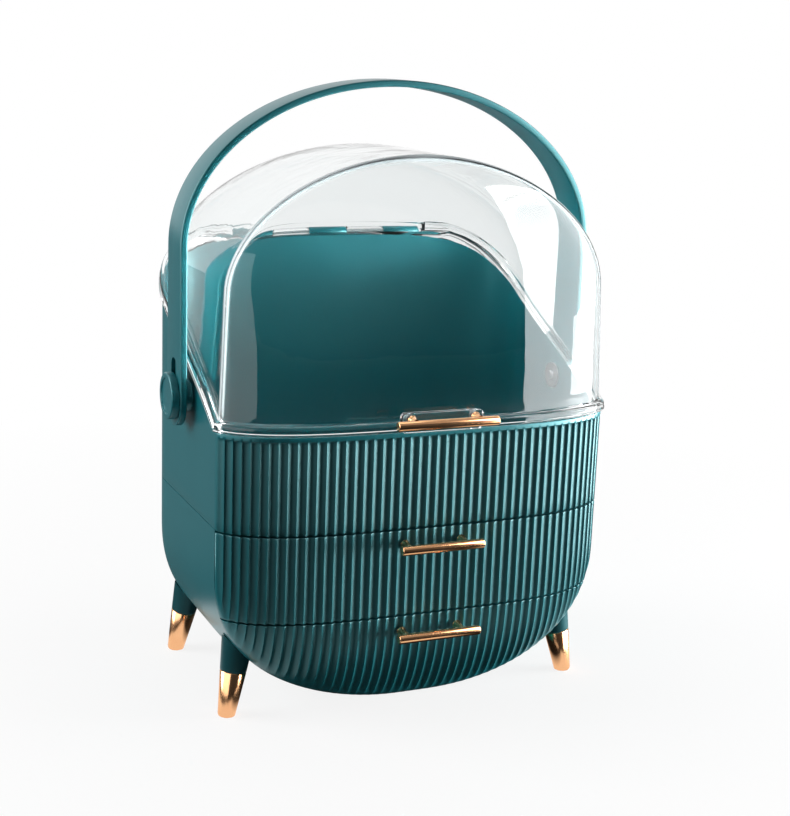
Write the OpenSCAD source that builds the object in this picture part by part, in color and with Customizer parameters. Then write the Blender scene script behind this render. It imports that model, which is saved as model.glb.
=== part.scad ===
// Countertop cosmetics organizer: an egg-shaped case on four splayed legs, with a
// scoop-shaped upper tub, two fluted drawers, a clear hinged cover and a carry handle.
// X is the width, Y the depth with the drawers facing -Y, and Z is up from the feet.

/* [Case] */
// Half of the width across the side walls
side_half = 124; // [116:1:132]
// Distance of the front corner edges ahead of the pivot line
corner_y = 63; // [58:1:68]
// How far the fluted front bows out past the corner edges
bow = 28.2; // [20:0.2:34]
// Where the back corners begin to round
round_y = 45; // [38:1:50]
// Depth of the rounded back past that place
back_round = 48.7; // [42:0.1:54]
// Height of the underside above the floor
belly_z = 4; // [2:0.5:8]
// Height where the belly starts to curve in
waist_z = 90; // [84:1:100]
// Height of the joint between the lower casing and the upper tub
tub_z = 117.5; // [112:0.5:124]
// Height of the joint between the two drawer fronts
drawer_seam_z = 63.9; // [60:0.1:68]
// Wall of the casing and the tub
wall = 2.6; // [2:0.1:3.2]
// Height of the tub's rim at the front
rim_front_z = 175.2; // [168:0.2:182]
// Height of the tub's rim at the back
rim_back_z = 266; // [256:1:276]
// Height of the plain lip above the flutes
lip_h = 2.8; // [2:0.2:5]

/* [Flutes] */
// Number of flutes across the front
flutes = 48; // [40:2:56]
// Depth of the grooves between the flutes
flute_depth = 1.5; // [1:0.1:1.8]

/* [Drawers] */
// Wall of the drawer fronts at the groove crowns
front_wall = 3.6; // [3.2:0.1:4.5]
// Visible gap around each drawer front
front_gap = 1.2; // [0.6:0.1:1.4]
// Wall of the drawer trays
tray_wall = 2; // [1.6:0.1:2.4]
// Gap between the upper tray and the screw posts beside it
tray_gap = 0.8; // [0.6:0.1:3]
// Depth of the upper tray behind the corner edges
tray_depth = 128; // [110:1:130]
// Depth of the lower tray behind the corner edges
low_tray_depth = 108; // [90:1:110]
// Thickness of the shelf between the drawers
shelf_t = 2.4; // [2:0.1:3]

/* [Cover] */
// Highest point of the cover
dome_top = 329.7; // [320:0.1:336]
// Height where the cover's arch springs
spring_z = 251.5; // [245:0.5:258]
// How far the cover's sides lean in up to that height
dome_lean = 3; // [2:0.1:6]
// Wall of the clear cover
dome_wall = 2.4; // [2:0.1:3]
// Height of the cover's flange
flange_h = 6; // [4:0.2:7]
// How far the flange stands out past the case
flange_out = 2.2; // [1.6:0.1:2.4]
// Half of the length of the hinge
hinge_half = 66; // [54:1:70]
// Radius of the hinge knuckles
knuckle_r = 3.4; // [3.2:0.1:4]
// Radius of the hinge pin
pin_r = 1.5; // [1.2:0.1:1.8]

/* [Handle] */
// Clear height between the cover and the handle
grip_gap = 36.2; // [32:0.1:40]
// Gap between the cover's flange and the handle's band
handle_gap = 2.5; // [1.6:0.1:4]
// Thickness of the band
band_t = 4.1; // [3.8:0.1:4.6]
// Width of the band at the top
band_w_top = 26; // [16:0.5:29]
// Width of the band at the pivots
band_w_low = 30.2; // [29:0.1:32]
// Height of the pivots
pivot_z = 184.2; // [178:0.2:190]
// Distance of the pivots ahead of the case's middle
pivot_y = 5.9; // [0:0.1:12]
// Radius of the round pivot caps
cap_r = 14; // [12:0.5:15]
// How far the caps stand out from the band
cap_h = 4.8; // [3:0.1:6]
// Radius of the pivot stubs
stub_r = 5; // [4:0.1:6]

/* [Pull bars] */
// Radius of the pull bars
bar_r = 2.9; // [2.4:0.1:3.4]
// Half of the length of the drawer bars
bar_half = 26; // [22:0.5:30]
// Half of the length of the cover bar
cover_bar_half = 31.5; // [28:0.5:36]
// Distance from the front of the case to the axis of the bars
bar_reach = 13.7; // [11:0.1:16]
// Radius of the posts behind the bars
post_r = 2; // [1.9:0.1:2.4]
// How far the posts stand below the axis of the drawer bars
post_down = 0.9; // [0:0.1:1.4]
// Drop of the drawer bars below the joint above them
bar_drop = 8.6; // [7:0.1:12]

/* [Legs] */
// Distance of the foot centres inside the casing's sides
foot_in = 10.4; // [8:0.2:14]
// Distance of the foot centres behind the front corner edges, and as far from the middle at the back
foot_set = 7.4; // [6:0.2:12]
// Outward splay of the legs
splay_x = 10; // [6:0.5:14]
// Splay of the legs to the front and back
splay_y = 5.5; // [2:0.5:8]
// Radius of the legs at the floor
foot_r = 5.4; // [4.6:0.1:6.2]
// Radius of the legs where the metal cap ends
ankle_r = 7.9; // [7:0.1:9]
// Height of the metal leg caps
cap_z = 26.5; // [20:0.5:29]

/* [Hidden] */
$fn = 64;
green = "#1f5555";
gold = "#d9a06a";
steel = "#b8bcc0";
clear = "#dfe8ea";

// Clearances
slide_gap = 0.3;
journal_gap = 0.05;
seat_gap = 0.1;
cut = 1;

// Curves of the case: exponents of its rounded outlines
belly_n = 2.25;
side_n = 2.5;
side_n_len = 40;
bow_n = 4;
bow_m = 0.65;
back_n = 6;
roll_z = 66;
back_roll = 45;
back_roll_z = 62;
back_roll_n = 2.4;

// Pulls of the rim's curve at its front and back ends, along the depth and up
rim_pull = [43, 28];
rim_push = [5, 44];
rim_end = 1.5;

// Derived sizes
front_y = corner_y + bow;
back_y = round_y + back_round;
hinge_y = back_y + knuckle_r / 2;
hinge_z = rim_back_z;
bar_y = front_y + bar_reach;
case_shift = (bar_y + bar_r - hinge_y - knuckle_r) / 2;
dome_in = 1.4;
dome_half = side_half - dome_in - dome_lean;
handle_half = side_half + flange_out + handle_gap + band_t;
handle_top = dome_top + grip_gap + band_t;
pivot_in = handle_half - band_t - slide_gap;
foot_x = side_half - foot_in;
foot_y = corner_y - foot_set;
steps = 24;

function pw(a, n) = pow(max(0, a), n);
function flat_end(t, n, m) = pw(1 - pw(t, n), m);
function bezier(p, t) = pow(1 - t, 3) * p[0] + 3 * t * pow(1 - t, 2) * p[1]
    + 3 * t * t * (1 - t) * p[2] + pow(t, 3) * p[3];

// Half-width of the belly's U at a height; n is fuller in the middle than at the front
function belly_half(z, n, grow = 0) =
    (side_half + grow) * flat_end((waist_z - min(z, waist_z)) / (waist_z - belly_z + grow), n, 1 / n);
// Bow of the front at a height: it rolls under towards the floor
function bow_at(z, grow = 0) =
    (bow + grow) * flat_end((roll_z - min(z, roll_z)) / (roll_z - belly_z + grow), 2, 0.5);
// Depth of the bowed front at a fraction of its half-width
function bow_y(t, depth) = -corner_y - depth * flat_end(abs(t), bow_n, bow_m);
// Fraction of the half-width that is left at a depth in the rounded back
function back_frac(y, grow = 0) =
    y <= round_y ? 1 : flat_end((y - round_y) / (back_round + grow), 2, 1 / back_n);
// Height of the underside at a depth in the rounded back
function back_floor(y, grow = 0) = y <= back_y - back_roll ? belly_z - grow
    : back_roll_z - (back_roll_z - belly_z + grow)
        * flat_end((y - back_y + back_roll) / (back_roll + grow), back_roll_n, 1 / back_roll_n);

// Spacing of points across the front: even in the middle, closer at the corners
squeeze = 0.09;
squeeze_n = 6;
function across(u) = sign(u) * ((1 + squeeze) * abs(u) - squeeze * pow(abs(u), squeeze_n));
// Depth of the hollow flutes, between ridges that stand at equal steps of u
function flute_cut(u) = flute_depth * abs(sin(90 * flutes * u));
// The same at a place x: u is found from across(u) = x / side_half in a few steps
function across_back(t, u, left = 6) = left == 0 ? u
    : across_back(t, (t + squeeze * pow(u, squeeze_n)) / (1 + squeeze), left - 1);
function flute_at(x) = let (t = abs(x) / side_half) flute_cut(across_back(t, t));

// Case outline seen from above, as points round the bowed front and rounded back
function case_plan(grow = 0, fluted = false, front_grow = undef) = let (
    n = fluted ? flutes * 4 : 48, half = side_half + grow,
    depth = bow + (is_undef(front_grow) ? grow : front_grow))
    concat([for (i = [0:n]) let (u = 2 * i / n - 1)
            [half * across(u), bow_y(across(u), depth) + (fluted ? flute_cut(u) : 0)]],
        [for (i = [0:steps]) let (y = round_y + (back_round + grow) * sin(90 * i / steps))
            [half * back_frac(y, grow), y]],
        [for (i = [steps - 1:-1:0]) let (y = round_y + (back_round + grow) * sin(90 * i / steps))
            [-half * back_frac(y, grow), y]]);

// Case outline behind a straight front edge, for plates that lie inside the casing
function inner_plate(front, grow) = let (half = side_half + grow)
    concat([[-half, front], [half, front]],
        [for (i = [0:steps]) let (y = round_y + (back_round + grow) * sin(90 * i / steps))
            [half * back_frac(y, grow), y]],
        [for (i = [steps - 1:-1:0]) let (y = round_y + (back_round + grow) * sin(90 * i / steps))
            [-half * back_frac(y, grow), y]]);

// The rim of the tub seen from the side
rim_line = [for (i = [0:steps]) bezier([[-corner_y, rim_front_z],
    [rim_pull[0] - corner_y, rim_front_z + rim_pull[1]],
    [round_y + rim_push[0], rim_back_z - rim_push[1]], [back_y - rim_end, rim_back_z]], i / steps)];
far = 2 * side_half;
function rim_band(low, high) = concat(
    [[-far, rim_front_z + low]], [for (p = rim_line) p + [0, low]], [[far, rim_back_z + low]],
    [[far, rim_back_z + high]], [for (i = [steps:-1:0]) rim_line[i] + [0, high]],
    [[-far, rim_front_z + high]]);

// The clear cover: bow of its front, half-width of its arch and height of its ridge
arch_n = 1.917;
crown_n = 2.2;
crown_m = 0.9;
dome_side_m = 0.72;
function dome_bow(grow) = bow - dome_in + grow;
function front_ridge(d, grow) = rim_front_z + (dome_top + grow - rim_front_z)
    * flat_end(d / dome_bow(grow), 1 / crown_m, 1 / crown_n);
function back_ridge(y, grow) = rim_back_z + (dome_top + grow - rim_back_z)
    * flat_end(max(0, y - ridge_y) / (back_y - dome_in + grow - ridge_y), ridge_n, 0.5);
ridge_y = 10;
ridge_n = 4;
function bow_left(z, grow) = dome_bow(grow) * flat_end(max(0, z - rim_front_z)
    / (dome_top + grow - rim_front_z), crown_n, crown_m);
function arch_half(z, top, grow) = z <= spring_z
    ? grow + dome_half + dome_lean * (spring_z - z) / (spring_z - rim_front_z)
    : (grow + dome_half) * flat_end((z - spring_z) / (top - spring_z), arch_n, 1 / arch_n);
function dome_half_at(y, z, top, grow) = y < -corner_y
    ? arch_half(z, dome_top + grow, grow)
        * flat_end((-corner_y - y) / max(0.001, bow_left(z, grow)), 1 / dome_side_m, 1 / bow_n)
    : arch_half(z, top, grow) * back_frac(y, grow - dome_in);
function dome_stations(grow) = concat(
    [for (f = [0.985, 0.93, 0.8, 0.6, 0.35, 0.12, 0.02]) -corner_y - f * dome_bow(grow)],
    [-corner_y, -corner_y / 3, ridge_y, round_y],
    [for (f = [0.25, 0.45, 0.62, 0.76, 0.87, 0.94, 0.985])
        round_y + f * (back_round - dome_in + grow)]);
dome_rows = 14;
dome_tuck = 7.8;
dome_low = rim_front_z - dome_tuck;
function dome_section(y, grow) = let (
    top = y < -corner_y ? front_ridge(-corner_y - y, grow) : back_ridge(y, grow),
    right = [for (i = [0:dome_rows - 1]) let (z = dome_low + (top - dome_low) * sin(90 * i / dome_rows))
        [dome_half_at(y, z, top, grow), z]])
    concat([for (p = right) [p[0], y, p[1]]], [[0, y, top]],
        [for (i = [dome_rows - 1:-1:0]) [-right[i][0], y, right[i][1]]]);

// The casing's U seen from the front, as a section at one depth
belly_rows = 18;
function belly_section(y, grow, top) = let (
    n = belly_n + (side_n - belly_n) * min(1, (y + corner_y) / side_n_len),
    half = (side_half + grow) * back_frac(y, grow),
    low = back_floor(y, grow))
    concat([[-half, y, top]],
        [for (i = [0:2 * belly_rows]) let (a = 90 * i / belly_rows)
            [-half * sign(cos(a)) * pow(abs(cos(a)), 2 / n), y,
             waist_z - (waist_z - low) * pow(abs(sin(a)), 2 / n)]],
        [[half, y, top]]);
function belly_stations(front, grow) = concat([for (f = [0:0.25:1]) front + f * (round_y - front)],
    [for (f = [0.3, 0.52, 0.7, 0.84, 0.94, 0.99]) round_y + f * (back_round + grow)]);

// A closed skin over sections that all have the same number of points
module skin(sections) {
    n = len(sections[0]);
    m = len(sections);
    polyhedron(points = [for (s = sections) each s], faces = concat(
        [[for (j = [n - 1:-1:0]) j]],
        [for (k = [0:m - 2], j = [0:n - 1]) let (a = k * n + j, b = k * n + (j + 1) % n)
            each [[a, b, b + n], [a, b + n, a + n]]],
        [[for (j = [0:n - 1]) (m - 1) * n + j]]));
}

module in_frame() translate([0, case_shift, 0]) children();
module along_x(length) rotate([90, 0, 90]) linear_extrude(length, center = true) children();
module x_rod(x, y, z, r, length) translate([x, y, z]) rotate([0, 90, 0]) cylinder(h = length, r = r);
module y_rod(x, y, z, r, length) translate([x, y, z]) rotate([-90, 0, 0]) cylinder(h = length, r = r);
module both_sides() {
    children();
    mirror([1, 0, 0]) children();
}
module dome(grow) skin([for (y = dome_stations(grow)) dome_section(y, grow)]);
module belly(front, grow, top)
    skin([for (y = belly_stations(front, grow)) belly_section(y, grow, top)]);

// Pan-head screw pointing along -Y, its head's seat at the origin
screw_r = 1.5;
head_r = 2.8;
head_h = 1.8;
thread_gap = 0.05;
module screw(length, r = screw_r, head = head_r, head_t = head_h) {
    y_rod(0, -length, 0, r, length);
    y_rod(0, 0, 0, head, head_t);
}

// Hinge knuckles, counted from the left end
knuckles = 5;
knuckle_gap = 0.4;
knuckle_len = 2 * hinge_half / knuckles;
module knuckle_row(first, r, gap) for (i = [first:2:knuckles - 1])
    x_rod(i * knuckle_len - hinge_half + gap / 2, hinge_y, hinge_z, r, knuckle_len - gap);

// Places of the screws that hold the tub down on the casing
post_in = 6.2;
post_set = 15;
post_x = side_half - post_in;
post_ys = [post_set - corner_y, round_y - post_set];
post_screw_r = 1.5;
boss_r = 4;
module at_posts() both_sides() for (y = post_ys) translate([post_x, y, 0]) children();

boss_rim = 5;
module upper_tub() in_frame() color(green) difference() {
    union() {
        difference() {
            intersection() {
                union() {
                    translate([0, 0, tub_z]) linear_extrude(rim_front_z - lip_h - tub_z)
                        polygon(case_plan(0, true));
                    translate([0, 0, rim_front_z - lip_h]) linear_extrude(far) polygon(case_plan(0));
                }
                along_x(2 * far) polygon(rim_band(-far, 0));
            }
            translate([0, 0, tub_z + wall]) linear_extrude(far)
                polygon(case_plan(-wall, false, -front_wall));
        }
        both_sides() x_rod(side_half - wall, -pivot_y, pivot_z, stub_r + boss_rim,
            pivot_in - side_half + wall);
        knuckle_row(0, knuckle_r, knuckle_gap);
    }
    both_sides() x_rod(side_half - wall - cut, -pivot_y, pivot_z, stub_r + journal_gap, far);
    knuckle_row(1, knuckle_r + knuckle_gap, -knuckle_gap);
    x_rod(-hinge_half - cut, hinge_y, hinge_z, pin_r + journal_gap, 2 * (hinge_half + cut));
    at_posts() translate([0, 0, tub_z - cut])
        cylinder(h = wall + 2 * cut, r = post_screw_r + thread_gap);
}

// The legs stand along slanted axes; this is the frame of one of them
module leg_frame(sx, sy) translate([sx * foot_x, sy * foot_y, 0])
    rotate([sy * splay_y, -sx * splay_x, 0]) children();
leg_seat = 49;
leg_boss_len = 14;
leg_screw_r = 1.5;
leg_screw_len = 30;
module at_legs() for (sx = [-1, 1], sy = [-1, 1]) leg_frame(sx, sy) children();

// The drawer fronts' flat backs lie behind the corner edges, and the casing ends behind them
panel_rim = 0.2;
panel_gap = 0.4;
casing_front = -corner_y + panel_rim + panel_gap;
shelf_z = drawer_seam_z - shelf_t / 2;
shelf_side = 5;
shelf_in = wall + shelf_side;
ledge_h = 2.4;
ledge_w = 3;
runner_x = 38;
runner_t = 4;
low_tray_z = 12;
post_screw_len = 11;
post_len = 16;
module lower_casing() in_frame() color(green) difference() {
    union() {
        difference() {
            belly(casing_front, 0, tub_z);
            belly(casing_front - cut, -wall, tub_z + cut);
        }
        intersection() {
            belly(casing_front, -wall / 2, tub_z);
            union() {
                both_sides() {
                    translate([side_half - shelf_in - ledge_w, casing_front, shelf_z - ledge_h])
                        cube([far, round_y - casing_front, ledge_h]);
                    translate([runner_x - runner_t / 2, casing_front, 0])
                        cube([runner_t, round_y - casing_front, low_tray_z - slide_gap]);
                }
                at_posts() translate([0, 0, tub_z - post_len]) cylinder(h = post_len, r = boss_r);
                at_legs() translate([0, 0, leg_seat - leg_boss_len])
                    cylinder(h = leg_boss_len, r = boss_r);
            }
        }
    }
    at_posts() translate([0, 0, tub_z - post_screw_len - cut])
        cylinder(h = post_screw_len + 2 * cut, r = post_screw_r + thread_gap);
    at_legs() cylinder(h = leg_seat + cut, r = leg_screw_r + thread_gap);
}

module drawer_shelf() in_frame() color(green) translate([0, 0, shelf_z])
    linear_extrude(shelf_t) polygon(inner_plate(casing_front, -shelf_in));

module casing_screws() in_frame() color(steel) at_posts() {
    translate([0, 0, tub_z - post_screw_len]) cylinder(h = post_screw_len + wall, r = post_screw_r);
    translate([0, 0, tub_z + wall]) cylinder(h = head_h, r = head_r);
}

// A bowed front panel between two heights. Each column of points stands at one x and starts at the
// casing's U-shaped edge or at the lower joint, so that flutes run straight on from panel to panel.
flute_fade = 6;
flute_end = 12;
end_h = 1;
end_x = 0.25;
row_power = 1.6;
function edge_z(x, grow) = waist_z - (waist_z - belly_z + grow)
    * flat_end(abs(x) / (side_half + grow), belly_n, 1 / belly_n);
function panel_xs(wide, grooves, n) = concat([-wide],
    [for (j = [1:n - 1]) let (x = (grooves ? side_half : wide) * across(2 * j / n - 1))
        if (abs(x) < wide - end_x) x], [wide]);
function panel_y(x, z, grow, cut) = let (
    depth = -corner_y - bow_y(min(1, abs(x) / belly_half(z, belly_n, grow)), bow_at(z, grow)))
    -corner_y - depth
        + cut * min(1, depth / flute_fade) * min(1, (z - edge_z(x, grow)) / flute_end);
module panel(low, high, rows, n, grow, grooves) {
    xs = panel_xs(belly_half(high - end_h, belly_n, grow), grooves, n);
    w = len(xs);
    loops = rows + 3;
    feet = [for (x = xs) max(low, edge_z(x, grow))];
    cuts = [for (j = [0:w - 1]) grooves && j > 0 && j < w - 1 ? flute_at(xs[j]) : 0];
    points = concat(
        [for (k = [0:rows], j = [0:w - 1]) let (z = feet[j] + (high - feet[j]) * pow(k / rows, row_power))
            [xs[j], panel_y(xs[j], z, grow, cuts[j]), z]],
        [for (x = xs) [x, panel_rim - corner_y, high]],
        [for (j = [0:w - 1]) [xs[j], panel_rim - corner_y, feet[j]]]);
    polyhedron(points, concat(
        [for (k = [0:loops - 1], j = [0:w - 2])
            let (a = k * w + j, b = (k + 1) % loops * w + j) each [[a, b, b + 1], [a, b + 1, a + 1]]],
        [for (k = [0:rows - 1]) [(rows + 2) * w, (k + 1) * w, k * w]],
        [[(rows + 2) * w, (rows + 1) * w, rows * w]],
        [for (k = [0:rows - 1]) [(rows + 3) * w - 1, (k + 1) * w - 1, (k + 2) * w - 1]],
        [[(rows + 3) * w - 1, (rows + 1) * w - 1, (rows + 2) * w - 1]]));
}

bar_post_x = 18;
bar_screw_r = 1.2;
bar_head_r = 2.1;
bar_head_h = 1.4;
front_screw_x = 62;
upper_bar_z = tub_z - bar_drop;
lower_bar_z = drawer_seam_z - bar_drop;
upper_tray_z = shelf_z + shelf_t + slide_gap;
upper_screw_z = (upper_tray_z + tub_z) / 2;
lower_screw_up = 4;
lower_screw_z = (low_tray_z + drawer_seam_z) / 2 + lower_screw_up;
pilot = 12;
boss_wall = 3.6;
pad_t = 1;
low_edge = 0.3;

// Distance from the middle to the front face behind a bar's posts
function post_base(z) = corner_y + bow_at(z - post_down + post_r);
// Depth of the bowed front behind a place on it, less half of its wall
function boss_len(x, z) =
    bow_at(z) * flat_end(x / belly_half(z, belly_n), bow_n, bow_m) - front_wall / 2;
module drawer_front(low, high, rows, screw_z, bar_z) in_frame() color(green) difference() {
    union() {
        difference() {
            panel(low, high, rows, flutes * 4, 0, true);
            translate([0, cut, 0])
                panel(low + front_wall, high - front_wall, max(2, rows - 3), 28, cut - front_wall, false);
        }
        both_sides() y_rod(front_screw_x, -corner_y - boss_len(front_screw_x, screw_z), screw_z,
            boss_wall, boss_len(front_screw_x, screw_z) + panel_rim);
        both_sides() y_rod(bar_post_x, front_wall / 2 - post_base(bar_z), bar_z - post_down,
            boss_wall, front_wall / 2 + pad_t);
    }
    both_sides() y_rod(front_screw_x, -corner_y - pilot, screw_z, screw_r + thread_gap, pilot + cut);
    both_sides() y_rod(bar_post_x, -bar_y, bar_z - post_down, bar_screw_r + thread_gap,
        bar_reach + front_wall + pad_t + cut);
}
module upper_drawer_front() drawer_front(drawer_seam_z + front_gap / 2, tub_z - front_gap, 4,
    upper_screw_z, upper_bar_z);
module lower_drawer_front() drawer_front(belly_z + low_edge, drawer_seam_z - front_gap / 2, 9,
    lower_screw_z, lower_bar_z);

tray_front = panel_rim - corner_y;
tray_half = post_x - boss_r - tray_gap;
module tray_holes(z) both_sides()
    y_rod(front_screw_x, tray_front - cut, z, screw_r + thread_gap, tray_wall + 2 * cut);
upper_tray_h = 46;
module upper_drawer_tray() in_frame() color(green) difference() {
    translate([-tray_half, tray_front, upper_tray_z]) cube([2 * tray_half, tray_depth, upper_tray_h]);
    translate([tray_wall - tray_half, tray_front + tray_wall, upper_tray_z + tray_wall])
        cube([2 * (tray_half - tray_wall), tray_depth - 2 * tray_wall, upper_tray_h]);
    tray_holes(upper_screw_z);
}

low_tray_side = 10;
low_tray_wall = 2.6;
low_tray_gap = 0.6;
low_tray_in = wall + low_tray_side;
low_tray_top = shelf_z - ledge_h - low_tray_gap;
function tray_u(grow, low, top) = let (right = [for (k = [0:10]) let (z = low + (top - low) * k / 10)
    [belly_half(z, belly_n) - low_tray_in + grow, z]])
    concat(right, [for (k = [10:-1:0]) [-right[k][0], right[k][1]]]);
module along_y(front, length) translate([0, front + length, 0]) rotate([90, 0, 0])
    linear_extrude(length) children();
module lower_drawer_tray() in_frame() color(green) difference() {
    along_y(tray_front, low_tray_depth) polygon(tray_u(0, low_tray_z, low_tray_top));
    along_y(tray_front + tray_wall, low_tray_depth - 2 * tray_wall)
        polygon(tray_u(-low_tray_wall, low_tray_z + tray_wall, low_tray_top + cut));
    tray_holes(lower_screw_z);
}

module pull_bar(half, z, posts, base, post_z) in_frame() color(gold) difference() {
    union() {
        x_rod(-half, -bar_y, z, bar_r, 2 * half);
        both_sides() y_rod(posts, -bar_y, post_z, post_r, bar_y - base);
    }
    both_sides() y_rod(posts, -bar_y, post_z, bar_screw_r + thread_gap, bar_y - base + cut);
}
module bar_screws(z, posts, seat, length) in_frame() color(steel) both_sides()
    translate([posts, -seat, z]) screw(length, bar_screw_r, bar_head_r, bar_head_h);
module drawer_bar(z) pull_bar(bar_half, z, bar_post_x, post_base(z), z - post_down);
module drawer_bar_screws(z)
    bar_screws(z - post_down, bar_post_x, post_base(z) - front_wall - pad_t, pilot);
module upper_drawer_bar() drawer_bar(upper_bar_z);
module lower_drawer_bar() drawer_bar(lower_bar_z);
module upper_bar_screws() drawer_bar_screws(upper_bar_z);
module lower_bar_screws() drawer_bar_screws(lower_bar_z);
module front_screws(z) in_frame() color(steel) both_sides()
    translate([front_screw_x, tray_front + tray_wall, z]) screw(pilot);
module upper_front_screws() front_screws(upper_screw_z);
module lower_front_screws() front_screws(lower_screw_z);

// Clear cover with its flange, its hinge knuckles and the tab that carries its pull bar
lid_gap = 0.3;
flange_front = front_y + flange_out;
tab_half = 25.5;
tab_t = 5;
tab_up = 1;
tab_h = 11.4;
tab_low = rim_front_z + tab_up;
cover_bar_up = 7.1;
head_clear = 0.3;
cover_bar_z = rim_front_z + cover_bar_up;
cover_post_x = 20;
cover_post_z = rim_front_z + lid_gap + flange_h + bar_head_r + head_clear;
cover_screw_len = 9;
module clear_cover() in_frame() color(clear, 0.4) difference() {
    union() {
        difference() {
            union() {
                intersection() {
                    dome(0);
                    along_x(2 * far) polygon(rim_band(lid_gap, far));
                }
                intersection() {
                    translate([0, 0, rim_front_z]) linear_extrude(far) polygon(case_plan(flange_out));
                    along_x(2 * far) polygon(rim_band(lid_gap, lid_gap + flange_h));
                }
            }
            dome(-dome_wall);
        }
        knuckle_row(1, knuckle_r, knuckle_gap);
    }
    knuckle_row(0, knuckle_r + knuckle_gap, -knuckle_gap);
    x_rod(-hinge_half - cut, hinge_y, hinge_z, pin_r + journal_gap, 2 * (hinge_half + cut));
}

module cover_tab() in_frame() color(clear, 0.6) difference() {
    translate([-tab_half, -flange_front - tab_t, tab_low]) cube([2 * tab_half, tab_t, tab_h]);
    both_sides() y_rod(cover_post_x, -flange_front - tab_t - cut, cover_post_z,
        bar_screw_r + thread_gap, tab_t + 2 * cut);
}
module cover_bar()
    pull_bar(cover_bar_half, cover_bar_z, cover_post_x, flange_front + tab_t, cover_post_z);
module cover_bar_screws() bar_screws(cover_post_z, cover_post_x, flange_front, cover_screw_len);

module hinge_pin() in_frame() color(steel)
    x_rod(-hinge_half, hinge_y, hinge_z, pin_r, 2 * hinge_half);

// Carry handle: a band bent to an arch on two straight legs
arch_up = 21;
arch_z = spring_z + arch_up;
band_rows = 24;
band_drop = 2.8;
band_foot = pivot_z - band_drop;
function arch_line(half, top) = [for (i = [0:2 * band_rows]) let (a = 90 * i / band_rows)
    [half * cos(a), arch_z + (top - arch_z) * sin(a)]];
function band_outline(inset) = let (half = handle_half - inset)
    concat([[half, 0]], arch_line(half, handle_top - inset), [[-half, 0]]);
band_taper = 1.2;
module band_side() polygon(concat(
    [for (i = [0:band_rows]) let (a = 180 + 180 * i / band_rows)
        [band_w_low / 2 * cos(a), band_foot + band_w_low / 2 * sin(a)]],
    [[band_w_low / 2 - band_taper, arch_z], [band_w_top / 2, handle_top + cut],
        [-band_w_top / 2, handle_top + cut], [band_taper - band_w_low / 2, arch_z]]));
slot_up = 12;
slot_z = pivot_z + slot_up;
slot_r = 5.1;
slot_h = 5.8;
slot_deep = 2.2;
module carry_handle() in_frame() color(green) difference() {
    intersection() {
        translate([0, far, 0]) rotate([90, 0, 0]) linear_extrude(2 * far) polygon(band_outline(0));
        translate([0, -pivot_y, 0]) along_x(2 * far) band_side();
    }
    translate([0, far, 0]) rotate([90, 0, 0]) linear_extrude(2 * far)
        polygon([for (p = band_outline(band_t)) p[1] == 0 ? [p[0], -cut] : p]);
    both_sides() {
        x_rod(0, -pivot_y, pivot_z, stub_r + journal_gap, far);
        for (z = [slot_z, slot_z + slot_h]) x_rod(handle_half - slot_deep, -pivot_y, z, slot_r, far);
        translate([handle_half - slot_deep, -pivot_y - slot_r, slot_z]) cube([far, 2 * slot_r, slot_h]);
    }
}

stub_in = side_half - wall - slide_gap;
washer_t = 1.2;
washer_rim = 3;
dish_rim = 3;
dish_t = 0.7;
module pivot_cap() difference() {
    union() {
        x_rod(handle_half, -pivot_y, pivot_z, cap_r, cap_h);
        x_rod(stub_in, -pivot_y, pivot_z, stub_r, handle_half - stub_in + cut);
    }
    x_rod(handle_half + cap_h - dish_t, -pivot_y, pivot_z, cap_r - dish_rim, far);
    x_rod(stub_in - cut, -pivot_y, pivot_z, screw_r + thread_gap, pilot + cut);
}
module pivot_washer() difference() {
    x_rod(stub_in - washer_t, -pivot_y, pivot_z, stub_r + washer_rim, washer_t);
    x_rod(stub_in - washer_t - cut, -pivot_y, pivot_z, screw_r + thread_gap, washer_t + 2 * cut);
}
module pivot_screw() {
    x_rod(stub_in - washer_t, -pivot_y, pivot_z, screw_r, pilot);
    x_rod(stub_in - washer_t - head_h, -pivot_y, pivot_z, head_r, head_h);
}
module right_pivot_cap() in_frame() color(green) pivot_cap();
module left_pivot_cap() in_frame() color(green) mirror([1, 0, 0]) pivot_cap();
module right_pivot_washer() in_frame() color(steel) pivot_washer();
module left_pivot_washer() in_frame() color(steel) mirror([1, 0, 0]) pivot_washer();
module right_pivot_screw() in_frame() color(steel) pivot_screw();
module left_pivot_screw() in_frame() color(steel) mirror([1, 0, 0]) pivot_screw();

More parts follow.
